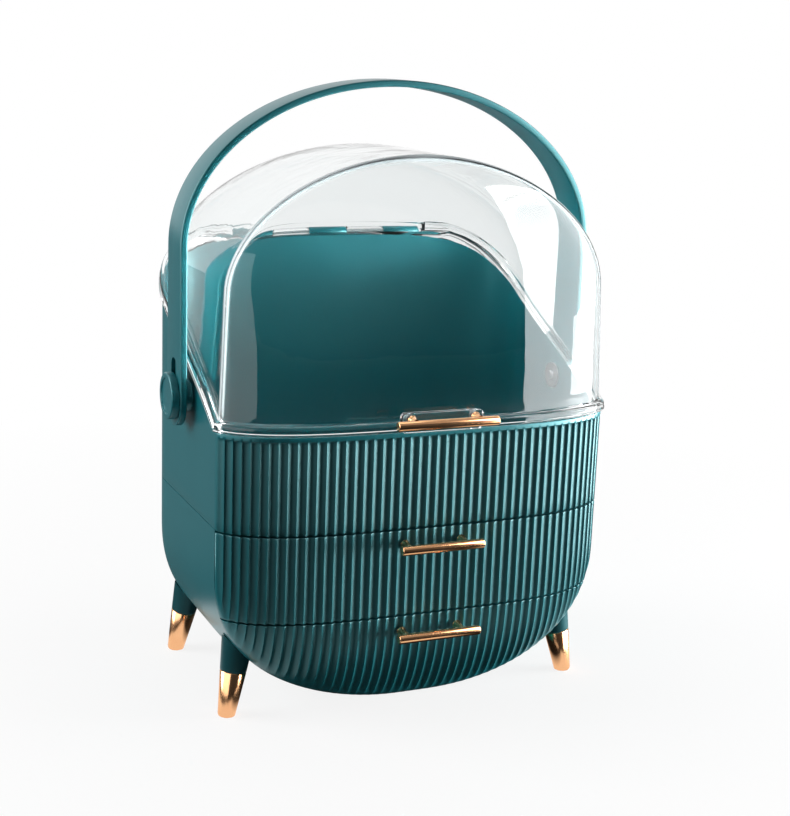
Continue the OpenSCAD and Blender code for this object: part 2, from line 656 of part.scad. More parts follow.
// Splayed legs, each with a metal cap over its foot
spigot_r = 3.6;
spigot_len = 12;
tip_round = 3;
leg_top = 64;
leg_taper = (ankle_r - foot_r) / cap_z;
leg_slant = sqrt(1 + pow(tan(splay_x), 2) + pow(tan(splay_y), 2));
cap_len = cap_z * leg_slant;
module leg(sx, sy) in_frame() color(green) difference() {
    leg_frame(sx, sy) {
        translate([0, 0, cap_len]) cylinder(h = leg_top - cap_len, r1 = ankle_r,
            r2 = ankle_r + leg_taper * (leg_top - cap_len));
        translate([0, 0, cap_len - spigot_len + seat_gap]) cylinder(h = spigot_len + cut, r = spigot_r);
    }
    belly(casing_front, 0, tub_z);
    leg_frame(sx, sy) translate([0, 0, leg_seat - leg_screw_len])
        cylinder(h = leg_screw_len + cut, r = leg_screw_r + thread_gap);
}
module leg_cap(sx, sy) in_frame() color(gold) intersection() {
    leg_frame(sx, sy) difference() {
        rotate_extrude() polygon(concat([[0, cap_len], [0, -tip_round / 2]],
            [for (i = [0:6]) let (a = 15 * i) [foot_r - tip_round + tip_round * sin(a),
                tip_round / 2 - tip_round * cos(a)]], [[ankle_r, cap_len]]));
        translate([0, 0, cap_len - spigot_len]) cylinder(h = spigot_len + cut, r = spigot_r + journal_gap);
    }
    translate([-far, -far, 0]) cube(2 * far);
}
module front_left_leg() leg(-1, -1);
module front_right_leg() leg(1, -1);
module back_left_leg() leg(-1, 1);
module back_right_leg() leg(1, 1);
module front_left_leg_cap() leg_cap(-1, -1);
module front_right_leg_cap() leg_cap(1, -1);
module back_left_leg_cap() leg_cap(-1, 1);
module back_right_leg_cap() leg_cap(1, 1);
module leg_screws() in_frame() color(steel) at_legs() {
    translate([0, 0, leg_seat - leg_screw_len + cut])
        cylinder(h = leg_screw_len - cut, r = leg_screw_r);
    translate([0, 0, leg_seat]) cylinder(h = head_h, r = head_r);
}

upper_tub();
lower_casing();
drawer_shelf();
casing_screws();
upper_drawer_tray();
upper_drawer_front();
upper_drawer_bar();
upper_bar_screws();
upper_front_screws();
lower_drawer_tray();
lower_drawer_front();
lower_drawer_bar();
lower_bar_screws();
lower_front_screws();
clear_cover();
cover_tab();
cover_bar();
cover_bar_screws();
hinge_pin();
carry_handle();
left_pivot_cap();
right_pivot_cap();
left_pivot_washer();
right_pivot_washer();
left_pivot_screw();
right_pivot_screw();
front_left_leg();
front_right_leg();
back_left_leg();
back_right_leg();
front_left_leg_cap();
front_right_leg_cap();
back_left_leg_cap();
back_right_leg_cap();
leg_screws();
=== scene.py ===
import math
import bmesh
import bpy
import numpy as np
from mathutils import Matrix, Vector


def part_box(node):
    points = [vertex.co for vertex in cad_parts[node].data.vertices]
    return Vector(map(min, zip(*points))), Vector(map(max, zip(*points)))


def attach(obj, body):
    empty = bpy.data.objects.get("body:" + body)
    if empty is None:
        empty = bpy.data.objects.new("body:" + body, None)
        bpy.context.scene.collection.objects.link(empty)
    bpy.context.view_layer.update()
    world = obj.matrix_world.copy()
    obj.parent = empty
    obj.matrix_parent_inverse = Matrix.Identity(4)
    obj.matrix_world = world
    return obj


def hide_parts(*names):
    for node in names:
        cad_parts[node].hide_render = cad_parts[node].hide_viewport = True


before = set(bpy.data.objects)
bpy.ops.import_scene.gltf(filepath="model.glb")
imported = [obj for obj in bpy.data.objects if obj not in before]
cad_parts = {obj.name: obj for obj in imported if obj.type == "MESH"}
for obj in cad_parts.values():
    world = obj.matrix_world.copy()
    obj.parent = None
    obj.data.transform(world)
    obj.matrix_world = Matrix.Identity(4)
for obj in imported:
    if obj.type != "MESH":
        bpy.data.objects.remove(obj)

join = np.concatenate
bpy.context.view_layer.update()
mm = 0.001


# some values of a settings dictionary, named in one string
def pick(settings, names):
    return [settings[name] for name in names.split()]


# case curves, in millimetres
lowestCasing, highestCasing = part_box("lower_casing")
case = {
    "sideHalf": highestCasing.x / mm,  # half width across the side walls
    "shiftY": 4.5,  # from the middle of the case to the middle of the whole box
    "cornerY": 63,  # front corner edges, ahead of the middle
    "bow": 28.2,  # how far the ribbed front bows out
    "roundY": 45,  # where the back corners begin to round
    "backRound": 48.7,  # depth of the rounded back
    "bellyZ": lowestCasing.z / mm,  # underside
    "waistZ": 90,  # where the belly starts to curve in
    "tubZ": highestCasing.z / mm,  # joint under the upper tub
    "rollZ": 66,  # where the front starts to roll under
    "backRoll": 45,  # depth and height of the rolled back edge
    "backRollZ": 62,
    "rollPower": 2.4,  # roundness of that edge
    "bellyPower": 2.25,  # roundness of the U at the front, and further back
    "sidePower": 2.5,
    "blend": 40,  # depth over which it changes
    "bowPower": 4,  # roundness of the bowed front
    "bowEnd": 0.65,
    "backPower": 6,  # roundness of the back corners
    "backSpacing": 0.6,  # how the points bunch up in those corners
    "wall": 2.6,
    "frontWall": 3.6,
    "rimFront": 175.2,  # rim of the tub, front and back
    "rimBack": 266,
    "rimPulls": ((-20, 203.2), (50, 222)),  # depth and height of the points that bend it between
    "rimEnd": 92.2,
}
sideHalf, cornerY, roundY, backRound, bellyZ, waistZ, tubZ, rimFront = pick(
    case, "sideHalf cornerY roundY backRound bellyZ waistZ tubZ rimFront")
ribs = {
    "count": 48,
    "depth": 1.5,
    "samples": 12,  # points across one flute
    "spread": 1.09,  # the flutes are wider in the middle than at the corners
    "gather": 6,  # and narrow to them by this power
    "fadeDepth": 6,  # they run out where the front is shallower than this
    "fadeEdge": 12,  # and over this height above the U-shaped edge
    "fadeTop": 2.4,  # length of their rounded tops
    "lip": 2.8,  # plain lip above them
}


# (1 - t^n)^m, which is 1 at t = 0 and falls to 0 at t = 1
def flatEnd(t, n, m):
    return np.clip(1 - np.clip(t, 0, None) ** n, 0, None) ** m


# half width of the U at a height: a superellipse below the waist, straight above it
def bellyHalf(z, grow=0.0):
    power = case["bellyPower"]
    drop = np.clip(waistZ - z, 0, None) / (waistZ - bellyZ + grow)
    return (sideHalf + grow) * flatEnd(drop, power, 1 / power)


# height of the U's edge at a distance from the middle, the inverse of bellyHalf
def bellyEdge(x, grow=0.0):
    power = case["bellyPower"]
    fall = waistZ - bellyZ + grow
    return waistZ - fall * flatEnd(np.abs(x) / (sideHalf + grow), power, 1 / power)


# depth of the bow at a height: a quarter ellipse below rollZ
def bowAt(z, grow=0.0):
    drop = np.clip(case["rollZ"] - z, 0, None) / (case["rollZ"] - bellyZ + grow)
    return (case["bow"] + grow) * flatEnd(drop, 2, 0.5)


# share of the half width that is left at a depth in the rounded back
def backShare(y, grow=0.0):
    run = np.clip(y - roundY, 0, None) / (backRound + grow)
    return flatEnd(run, 2, 1 / case["backPower"])


# power of the U's superellipse at a depth, growing in a straight line from the front corners
def powerAt(y):
    share = np.clip((y + cornerY) / case["blend"], 0, 1)
    return case["bellyPower"] + (case["sidePower"] - case["bellyPower"]) * share


# lowest height of the underside at a depth: level, then a superellipse up round the back edge
def undersideAt(y, grow=0.0):
    rollZ, roll, power = pick(case, "backRollZ backRoll rollPower")
    past = np.clip(y - (roundY + backRound - roll), 0, None) / (roll + grow)
    return rollZ - (rollZ - bellyZ + grow) * flatEnd(past, power, 1 / power)


# x of a rib line for u from -1 to 1: a line a little too steep, less a power of u
def ribLine(u):
    return np.sign(u) * (ribs["spread"] * np.abs(u) - (ribs["spread"] - 1) * np.abs(u) ** ribs["gather"])


ribSteps = np.linspace(0, 1, 4001)  # a table to go back from x to u
ribPlaces = ribLine(ribSteps)


# hollow flutes between thin ridges: the sine of half a turn over each flute
def ribGroove(x):
    u = np.interp(np.abs(x) / sideHalf, ribPlaces, ribSteps)
    return np.abs(np.sin(u * ribs["count"] * math.pi / 2))


ribShares = ribLine(np.linspace(-1, 1, ribs["count"] * ribs["samples"] + 1))
ribColumns = sideHalf * ribShares
rimCurve = np.array([(-cornerY, rimFront), *case["rimPulls"], (case["rimEnd"], case["rimBack"])])
rimSteps = np.linspace(0, 1, 400)[:, None]
rimPoints = ((1 - rimSteps) ** 3 * rimCurve[0] + 3 * rimSteps * (1 - rimSteps) ** 2 * rimCurve[1]
             + 3 * rimSteps ** 2 * (1 - rimSteps) * rimCurve[2] + rimSteps ** 3 * rimCurve[3])


# height of the tub's scoop-shaped rim at a depth: a cubic Bezier curve seen from the side
def rimZ(y):
    return np.interp(y, rimPoints[:, 0], rimPoints[:, 1])


sideCount, backCount = 40, 44
sideSteps = np.linspace(-cornerY, roundY, sideCount + 1)
backSteps = np.cos(np.linspace(0, math.pi / 2, backCount + 1)) ** case["backSpacing"]


# points of the rounded back, from the straight side to the middle: a superellipse
def backPlan(half, depth):
    y = roundY + depth * np.sqrt(1 - backSteps[1:] ** case["backPower"])
    return np.stack([half * backSteps[1:], y], 1)


# closed outline of the case from above: a bowed front less its flutes, at shares t of its half width,
# then straight sides and a rounded back
def planLoop(t, grow, frontGrow, backGrow, groove=0.0):
    half = sideHalf + grow
    depth = (case["bow"] + frontGrow) * flatEnd(np.abs(t), case["bowPower"], case["bowEnd"])
    cut = ribs["depth"] * ribGroove(sideHalf * t) * np.clip(depth / ribs["fadeDepth"], 0, 1)
    front = np.stack([half * t, groove * cut - depth - cornerY], 1)
    right = np.stack([np.full(sideCount, half), sideSteps[1:]], 1)
    rightHalf = join([right, backPlan(half, backRound + backGrow)])
    return join([front, rightHalf, rightHalf[::-1][1:] * [-1, 1]])


# quads of a grid of points, rows by columns, wrapped round where asked
def gridQuads(rows, columns, wrapColumns=False, wrapRows=False):
    r = np.arange(rows if wrapRows else rows - 1)[:, None]
    c = np.arange(columns if wrapColumns else columns - 1)[None, :]
    nextR, nextC = (r + 1) % rows, (c + 1) % columns
    corners = [r * columns + c, r * columns + nextC, nextR * columns + nextC, nextR * columns + c]
    return np.stack(corners, -1).reshape(-1, 4)


# rings of points that are closed at both ends by a ring shrunk to one point
def closedRings(rings, first, last):
    count = len(rings[0])
    ends = [np.tile(np.array([end], float), (count, 1)) for end in (first, last)]
    return np.array([ends[0], *rings, ends[1]]), gridQuads(len(rings) + 2, count, wrapColumns=True)


# volume inside closed quads: the pyramids from the origin to their two triangles, with their signs
def signedVolume(points, quads):
    a, b, c, d = (points[quads[:, i]] for i in range(4))
    return (np.einsum("ij,ij->", a, np.cross(b, c)) + np.einsum("ij,ij->", a, np.cross(c, d))) / 6


# shells is a list of (points, quads) in case millimetres; each is turned outwards by its volume
def makeMesh(name, shells, attributes=None):
    allPoints, allQuads, count = [], [], 0
    for points, quads in shells:
        points = points.reshape(-1, 3).astype(float)
        if signedVolume(points - points.mean(0), quads) < 0:
            quads = quads[:, ::-1]
        allPoints.append(points)
        allQuads.append(quads + count)
        count += len(points)
    points = join(allPoints)
    points[:, 1] += case["shiftY"]
    mesh = bpy.data.meshes.new(name)
    mesh.from_pydata((points * mm).tolist(), [], join(allQuads).tolist())
    for key, values in (attributes or {}).items():
        layer = mesh.attributes.new(key, "FLOAT", "POINT")
        layer.data.foreach_set("value", np.asarray(values, np.float32).reshape(-1))
    edit = bmesh.new()
    edit.from_mesh(mesh)
    bmesh.ops.remove_doubles(edit, verts=edit.verts, dist=2e-6)
    bmesh.ops.dissolve_degenerate(edit, dist=1e-6, edges=edit.edges)
    edit.to_mesh(mesh)
    edit.free()
    return mesh


def addObject(name, data):
    made = bpy.data.objects.new(name, data)
    bpy.context.scene.collection.objects.link(made)
    return made


# a finished piece: its mesh, shading, material, body and the CAD nodes it stands for
def makePiece(name, shells, body, material, replaces, sharp, attributes=None):
    mesh = makeMesh(name, shells, attributes)
    mesh.shade_smooth()
    mesh.set_sharp_from_angle(angle=math.radians(sharp))
    mesh.materials.append(material)
    piece = addObject(name, mesh)
    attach(piece, body)
    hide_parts(*replaces)
    print("piece", name, len(mesh.polygons), "faces")
    return piece


# a body of revolution: (distance along, radius) pairs turned about an axis from a point
def turned(profile, origin, axis, sides=48):
    axis = np.array(axis, float) / np.linalg.norm(axis)
    helper = np.array([0, 0, 1.0]) if abs(axis[2]) < 0.9 else np.array([1.0, 0, 0])
    first = np.cross(axis, helper)
    first /= np.linalg.norm(first)
    second = np.cross(axis, first)
    profile = np.array(profile, float)
    angle = np.linspace(0, 2 * math.pi, sides, endpoint=False)
    ring = np.cos(angle)[:, None] * first + np.sin(angle)[:, None] * second
    points = np.array(origin, float) + profile[:, None, :1] * axis + profile[:, None, 1:] * ring[None]
    return points, gridQuads(len(profile), sides, wrapColumns=True)


# points of an arc about a centre: cosine and sine of its angles
def corner(centre, radius, startDeg, endDeg, steps=5):
    a = np.radians(np.linspace(startDeg, endDeg, steps))
    return [(centre[0] + radius * math.cos(x), centre[1] + radius * math.sin(x)) for x in a]


# how far a rounded edge stands off its two faces at some angles: r (1 - sine) and r (1 - cosine)
def edgeSteps(radius, degrees):
    return [(radius * (1 - math.sin(a)), radius * (1 - math.cos(a))) for a in np.radians(degrees)]


# outline of a rounded rectangle about the middle line: an arc at each corner, anticlockwise
def roundedOutline(half, low, high, radius, steps, inset=0.0):
    right, top, bottom = half - radius, high - radius, low + radius
    points = []
    for turn, middle in enumerate(((right, top), (-right, top), (-right, bottom), (right, bottom))):
        points += corner(middle, radius - inset, 90 * turn, 90 * turn + 90, steps)
    return np.array(points)


class Value:
    # wraps a socket, so that plain expressions add Math nodes
    def __init__(self, recipe, socket):
        self.recipe, self.socket = recipe, socket

    def maths(self, operation, other=0.0, swap=False):
        pair = (other, self) if swap else (self, other)
        return self.recipe.node("Math", {"operation": operation}, {0: pair[0], 1: pair[1]})

    def __add__(self, other):
        return self.maths("ADD", other)

    def __sub__(self, other):
        return self.maths("SUBTRACT", other)

    def __rsub__(self, other):
        return self.maths("SUBTRACT", other, True)

    def __mul__(self, other):
        return self.maths("MULTIPLY", other)

    __radd__ = __add__
    __rmul__ = __mul__


class Recipe:
    # one material; node() adds any node from its type, its settings and its sockets' values
    def __init__(self, name, world=None):
        self.material = world or bpy.data.materials.new(name)
        self.material.use_nodes = True
        self.tree = self.material.node_tree
        self.tree.nodes.clear()
        self.out = self.tree.nodes.new("ShaderNodeOutputWorld" if world else "ShaderNodeOutputMaterial")

    def node(self, kind, settings=None, sockets=None, output=0):
        made = self.tree.nodes.new("ShaderNode" + kind)
        for key, value in (settings or {}).items():
            setattr(made, key, value)
        for key, value in (sockets or {}).items():
            if isinstance(value, Value):
                self.tree.links.new(value.socket, made.inputs[key])
            else:
                made.inputs[key].default_value = value
        return Value(self, made.outputs[output])

    def surface(self, shader):
        self.tree.links.new(shader.socket, self.out.inputs["Surface"])
        return self.material

    def place(self, kind="Object"):
        return self.node("TexCoord", output=kind)

    def noise(self, size, detail, vector=None):
        return self.node("TexNoise", None, {"Vector": vector or self.place(), "Scale": 1 / size,
                                            "Detail": detail}, output="Fac")

    def mixColour(self, share, first, second):
        return self.node("Mix", {"data_type": "RGBA"}, {0: share, 6: first, 7: second}, output=2)

    def mixShader(self, share, first, second):
        return self.node("MixShader", None, {0: share, 1: first, 2: second})

    def bump(self, height, distance):
        return self.node("Bump", None, {"Height": height, "Distance": distance})

    def attribute(self, name):
        return self.node("Attribute", {"attribute_name": name}, output="Fac")

    # one part of a vector: 0, 1 or 2 for x, y or z
    def part(self, vector, index):
        return self.node("SeparateXYZ", None, {0: vector}, output=index)

    # a straight ramp between two values while the input crosses a stretch, level outside it
    def ramp(self, value, stretch, first=0.0, last=1.0):
        return self.node("MapRange", None, {0: value, 1: stretch[0], 2: stretch[1], 3: first, 4: last})

    # 1 inside a stretch and 0 outside it, with soft ends: one ramp up times one ramp down
    def between(self, value, stretch, soft):
        rise = self.ramp(value, (stretch[0], stretch[0] + soft))
        return rise * self.ramp(value, (stretch[1] - soft, stretch[1]), 1.0, 0.0)

    # which way a ray has come; a refracted ray counts as a glossy one too, which mirrored leaves out
    def lightPath(self):
        def ray(kind):
            return self.node("LightPath", output=kind)

        seen, refracted = ray("Is Camera Ray"), ray("Is Transmission Ray")
        mirrored = ray("Is Glossy Ray") * (1 - refracted)
        scattered = ray("Diffuse Depth").maths("MINIMUM", 1.0)
        reflected = ray("Glossy Depth").maths("MINIMUM", 1.0)
        crossed = ray("Transmission Depth").maths("GREATER_THAN", 3.5)  # through two walls
        piped = ray("Glossy Depth").maths("GREATER_THAN", 1.5)  # turned twice in one wall
        return seen, refracted, mirrored, scattered, reflected, crossed, piped


teal = {
    "deep": (0.002, 0.092, 0.112, 1),  # the colour drifts between these two
    "light": (0.003, 0.108, 0.126, 1),
    "driftSize": 0.045,
    "paintedShadeColour": (0.001, 0.012, 0.015, 1),  # painted shade: the colour mixed in to darken the legs, as if in the shadow under the case
    "hollow": (0.004, 0.035, 0.04, 1),  # painted shade in the bottoms of the flutes
    "hollowShadeShare": 0.55,
    "hollowRough": 0.12,
    "roughness": 0.3,
    "haze": 0.03,  # how much the roughness varies
    "hazeSize": 0.02,
    "specular": 0.75,
    "paintedShadeSpecular": 0.7,  # how much of it full painted shade takes off
    "tint": (0.5, 0.97, 1.0, 1),
    "grain": 0.000006,
    "grainSize": 0.0011,
}


# satin-gloss moulded plastic: slow colour drift, faint orange peel and hazy patches in the gloss; ribbed, it
# gets painted shade in the bottoms of its flutes, and a share of painted shade can darken it all over
def tealPlastic(name, roughness=teal["roughness"], grain=teal["grain"], ribbed=False, paintedShade=0.0):
    r = Recipe(name)
    drift = r.noise(teal["driftSize"], 4)
    colour = r.mixColour(paintedShade, r.mixColour(drift, teal["deep"], teal["light"]), teal["paintedShadeColour"])
    rough = r.noise(teal["hazeSize"], 4) * teal["haze"] + (roughness - teal["haze"] / 2)
    if ribbed:
        # painted shade: the flute bottoms, which the groove attribute marks, are darkened and given a
        # rougher gloss
        groove = r.attribute("groove")
        colour = r.mixColour(groove * teal["hollowShadeShare"], colour, teal["hollow"])
        rough = rough + groove * teal["hollowRough"]
    return r.surface(r.node("BsdfPrincipled", None, {
        "Base Color": colour, "Roughness": rough, "Specular Tint": teal["tint"],
        "Specular IOR Level": teal["specular"] - teal["paintedShadeSpecular"] * paintedShade,
        "Normal": r.bump(r.noise(teal["grainSize"], 2), grain)}))


plating = {"deep": (0.88, 0.44, 0.21, 1), "light": (0.96, 0.54, 0.28, 1), "toneSize": 0.01,
           "stretch": (25, 900, 900), "roughness": 0.13, "lineRough": 0.08, "lineDepth": 0.000004}


# polished rose gold plating: drawn lines from a noise that is stretched along the bars
def roseGold(name):
    r = Recipe(name)
    stretched = r.node("Mapping", None, {"Vector": r.place(), "Scale": plating["stretch"]})
    lines = r.noise(1.0, 2, stretched)
    return r.surface(r.node("BsdfPrincipled", None, {
        "Base Color": r.mixColour(r.noise(plating["toneSize"], 3), plating["deep"], plating["light"]),
        "Metallic": 1.0, "Roughness": lines * plating["lineRough"] + plating["roughness"],
        "Normal": r.bump(lines, plating["lineDepth"])}))


zinc = {"deep": (0.5, 0.51, 0.52, 1), "light": (0.68, 0.69, 0.7, 1), "cloudSize": 0.002, "roughness": 0.25,
        "cloudRough": 0.2, "grain": 0.00001, "grainSize": 0.0004}


# dull screw steel: one small cloud varies both its colour and its roughness
def plainSteel(name):
    r = Recipe(name)
    cloud = r.noise(zinc["cloudSize"], 4)
    return r.surface(r.node("BsdfPrincipled", None, {
        "Base Color": r.mixColour(cloud, zinc["deep"], zinc["light"]), "Metallic": 1.0,
        "Roughness": cloud * zinc["cloudRough"] + zinc["roughness"],
        "Normal": r.bump(r.noise(zinc["grainSize"], 2), zinc["grain"])}))


acrylic = {"colour": (0.97, 0.985, 0.985, 1), "ior": 1.47, "roughness": 0.002, "haze": 0.012,
           "hazeSize": 0.012, "swell": 0.00012, "swellSize": 0.03, "shadow": (0.93, 0.96, 0.96, 1),
           "creaseHighlight": (0.68, 0.75, 0.77, 1), "creaseHighlightRough": 0.3, "creaseGlow": (0.9, 0.96, 1, 1),
           "creaseGlowStrength": 0.12, "creaseHighlightShare": 0.75}


# clear moulded plastic that lets lamps through, with a painted highlight along the cover's crease: a pale
# shader with a faint glow mixed in there
def clearPlastic(name):
    r = Recipe(name)
    glass = r.node("BsdfPrincipled", None, {
        "Base Color": acrylic["colour"], "IOR": acrylic["ior"], "Transmission Weight": 1.0,
        "Roughness": r.noise(acrylic["hazeSize"], 4) * acrylic["haze"] + acrylic["roughness"],
        "Normal": r.bump(r.noise(acrylic["swellSize"], 2), acrylic["swell"])})
    through = r.node("BsdfTransparent", None, {"Color": acrylic["shadow"]})
    lamp = r.node("LightPath", output="Is Shadow Ray")
    mixed = r.mixShader(lamp, glass, through)
    # painted highlight: a pale, faintly glowing shader for the crease line
    creaseHighlight = r.node("BsdfPrincipled", None, {
        "Base Color": acrylic["creaseHighlight"], "Roughness": acrylic["creaseHighlightRough"],
        "Emission Color": acrylic["creaseGlow"], "Emission Strength": acrylic["creaseGlowStrength"]})
    share = r.attribute("crease") * acrylic["creaseHighlightShare"]
    return r.surface(r.mixShader(share, mixed, creaseHighlight))


tealRibbed = tealPlastic("teal_ribbed", ribbed=True)
tealSmooth = tealPlastic("teal_smooth")
tealInside = tealPlastic("teal_inside", roughness=0.36, grain=0.000012)
# the legs: teal with painted shade, darker as if shadowed under the case
tealLegShaded = tealPlastic("teal_leg_painted_shade", roughness=0.34, paintedShade=0.65)
gold = roseGold("rose_gold")
steel = plainSteel("steel")
clear = clearPlastic("clear")

# upper tub
tub = {"middleY": 15, "edge": 0.5, "floor": 2.6, "fillet": 4.0, "footIn": 30, "floorIn": 35, "rimRound": 0.8,
       "bossIn": 1, "bossR": 10, "bossFace": 128.4, "bossEdge": 0.5, "pivot": (-5.9, 184.2), "stubR": 5.05,
       "hinge": (95.4, 266), "knuckleR": 3.4, "knuckleEdge": 0.5, "knuckles": 5, "hingeHalf": 66,
       "pinR": 1.55, "gap": 0.4}
ribEnds = (0.8, 0.62, 0.46, 0.32, 0.2, 0.1, 0.03, 0)  # steps up a flute's rounded top, in shares of it


# a ring of the tub: the outline at a growth and a height over its foot or under its rim
def tubRing(grow, frontGrow, height, groove=0.0, fromRim=False):
    plan = planLoop(ribShares, grow, frontGrow, grow, groove)
    z = rimZ(plan[:, 1]) - height if fromRim else height + 0 * plan[:, 1]
    return np.column_stack([plan, z])


# one knuckle of the hinge, counted from the left: a tube round the pin with chamfered ends
def knuckle(index):
    pitch = 2 * tub["hingeHalf"] / tub["knuckles"]
    gap, b, bore, r = pick(tub, "gap knuckleEdge pinR knuckleR")
    long = pitch - gap
    ring = [(b, bore), (0, bore + b), (0, r - b), (b, r), (long - b, r), (long, r - b), (long, bore + b),
            (long - b, bore), (b, bore)]
    start = (index * pitch - tub["hingeHalf"] + gap / 2, *tub["hinge"])
    return turned(ring, start, (1, 0, 0), 32)


# boss that carries the handle, a ring about its pivot with a chamfered face
def boss(side):
    start = sideHalf - tub["bossIn"]
    face, r, b, bore = tub["bossFace"] - start, *pick(tub, "bossR bossEdge stubR")
    ring = [(0, bore), (0, r), (face - b, r), (face, r - b), (face, bore), (0, bore)]
    return turned(ring, (side * start, *tub["pivot"]), (side, 0, 0))


# the tub is a stack of the case's outlines: under its floor, up the ribbed wall, where the flutes end
# in quarter circles, over the rim, and down inside to the floor
def makeTub():
    base, wall, inner = tubZ, case["wall"], case["frontWall"]
    rings, grooves = [], []

    def add(ring, groove=0.0):
        rings.append(ring)
        grooves.append(groove)

    add(tubRing(-tub["footIn"], -tub["footIn"], base))
    add(tubRing(-tub["edge"], -tub["edge"], base), 1)
    for inset, up in edgeSteps(tub["edge"], (30, 60, 90)):
        add(tubRing(-inset, -inset, base + up, 1), 1)
    low = base + tub["edge"]
    for step in np.linspace(0.1, 1, 8):  # ribbed wall, up to where the ribs begin to end
        plan = planLoop(ribShares, 0, 0, 0, 1)
        top = rimZ(plan[:, 1]) - ribs["lip"] - ribs["fadeTop"]
        add(np.column_stack([plan, low + (top - low) * step]), 1)
    for step in ribEnds:
        share = math.sqrt(1 - (1 - step) ** 2)
        add(tubRing(0, 0, ribs["lip"] + ribs["fadeTop"] * step, share, True), share)
    r = tub["rimRound"]
    add(tubRing(0, 0, r, 0, True))
    for drop, inset in edgeSteps(r, (30, 60, 90)):
        add(tubRing(-inset, -inset, drop, 0, True))
    for drop, inset in edgeSteps(r, (90, 60, 30, 0)):
        add(tubRing(inset - wall, inset - inner, drop, 0, True))
    floorZ, f = base + tub["floor"], tub["fillet"]
    for step in np.linspace(0.15, 1, 6):
        plan = planLoop(ribShares, -wall, -inner, -wall)
        top = rimZ(plan[:, 1]) - r
        add(np.column_stack([plan, top + (floorZ + f - top) * step]))
    for up, inset in edgeSteps(f, (22, 45, 68, 90)):
        add(tubRing(-wall - inset, -inner - inset, floorZ + up))
    add(tubRing(-tub["floorIn"], -tub["floorIn"], floorZ))
    points, quads = closedRings(rings, (0, tub["middleY"], base), (0, tub["middleY"], floorZ))
    flutes = ribGroove(ribColumns)
    fade = np.zeros(points.shape[:2])
    fade[1:-1, :len(flutes)] = np.array(grooves)[:, None] * flutes
    extras = [boss(-1), boss(1)] + [knuckle(index) for index in range(0, tub["knuckles"], 2)]
    plain = np.zeros(sum(extra.size // 3 for extra, _ in extras))
    # the groove attribute holds the flute depth, which the ribbed material uses for painted shade in the
    # flute bottoms
    makePiece("tub", [(points, quads), *extras], "base", tealRibbed, ["upper_tub"], 50,
              {"groove": join([fade.reshape(-1), plain])})


makeTub()

# lower casing
casing = {"frontY": -62.4, "rows": 48, "sideRows": 26, "backRows": 40}


# the U at one depth, grown or shrunk: a superellipse whose power grows towards the back, with
# straight sides on top
def casingSection(depth, grow):
    angle = np.linspace(0, math.pi, 2 * casing["rows"] + 1)
    straight = np.linspace(tubZ, waistZ, 8)[:-1]
    power, low = powerAt(depth), undersideAt(depth, grow)
    wide = (sideHalf + grow) * backShare(depth, grow)
    c, s = np.cos(angle), np.abs(np.sin(angle))
    x = -wide * np.sign(c) * np.abs(c) ** (2 / power)
    z = waistZ - (waistZ - low) * s ** (2 / power)
    x = join([0 * straight - wide, x, 0 * straight + wide])
    z = join([straight, z, straight[::-1]])
    return np.stack([x, depth + 0 * x, z], 1)


# a U-shaped wall carried back from the drawers and shrunk to the middle round the back
def makeCasing():
    share = np.cos(np.linspace(0, math.pi / 2, casing["backRows"] + 1))[1:] ** case["backSpacing"]
    curve = np.sqrt(1 - share ** case["backPower"])
    sides = np.linspace(casing["frontY"], roundY, casing["sideRows"])

    def wall(grow):
        depths = join([sides, roundY + (backRound + grow) * curve])
        return np.array([casingSection(y, grow) for y in depths])

    points = join([wall(0.0), wall(-case["wall"])[:, ::-1]], 1)
    rows, loop = points.shape[:2]
    quads = gridQuads(rows, loop, wrapColumns=True)
    half = loop // 2
    k = np.arange(half - 1)  # the front edge, between the outer and the inner U
    lid = np.stack([k, k + 1, loop - 2 - k, loop - 1 - k], 1)[:, ::-1]
    makePiece("casing", [(points, join([quads, lid]))], "base", tealSmooth, ["lower_casing"], 40)


makeCasing()

# drawer fronts
fronts = {"back": -62.8, "gap": 1.2, "seam": 63.9, "lowEdge": 0.3, "edge": 0.35, "rows": 64,
          "hollowRows": 26, "hollowIn": 1.0}


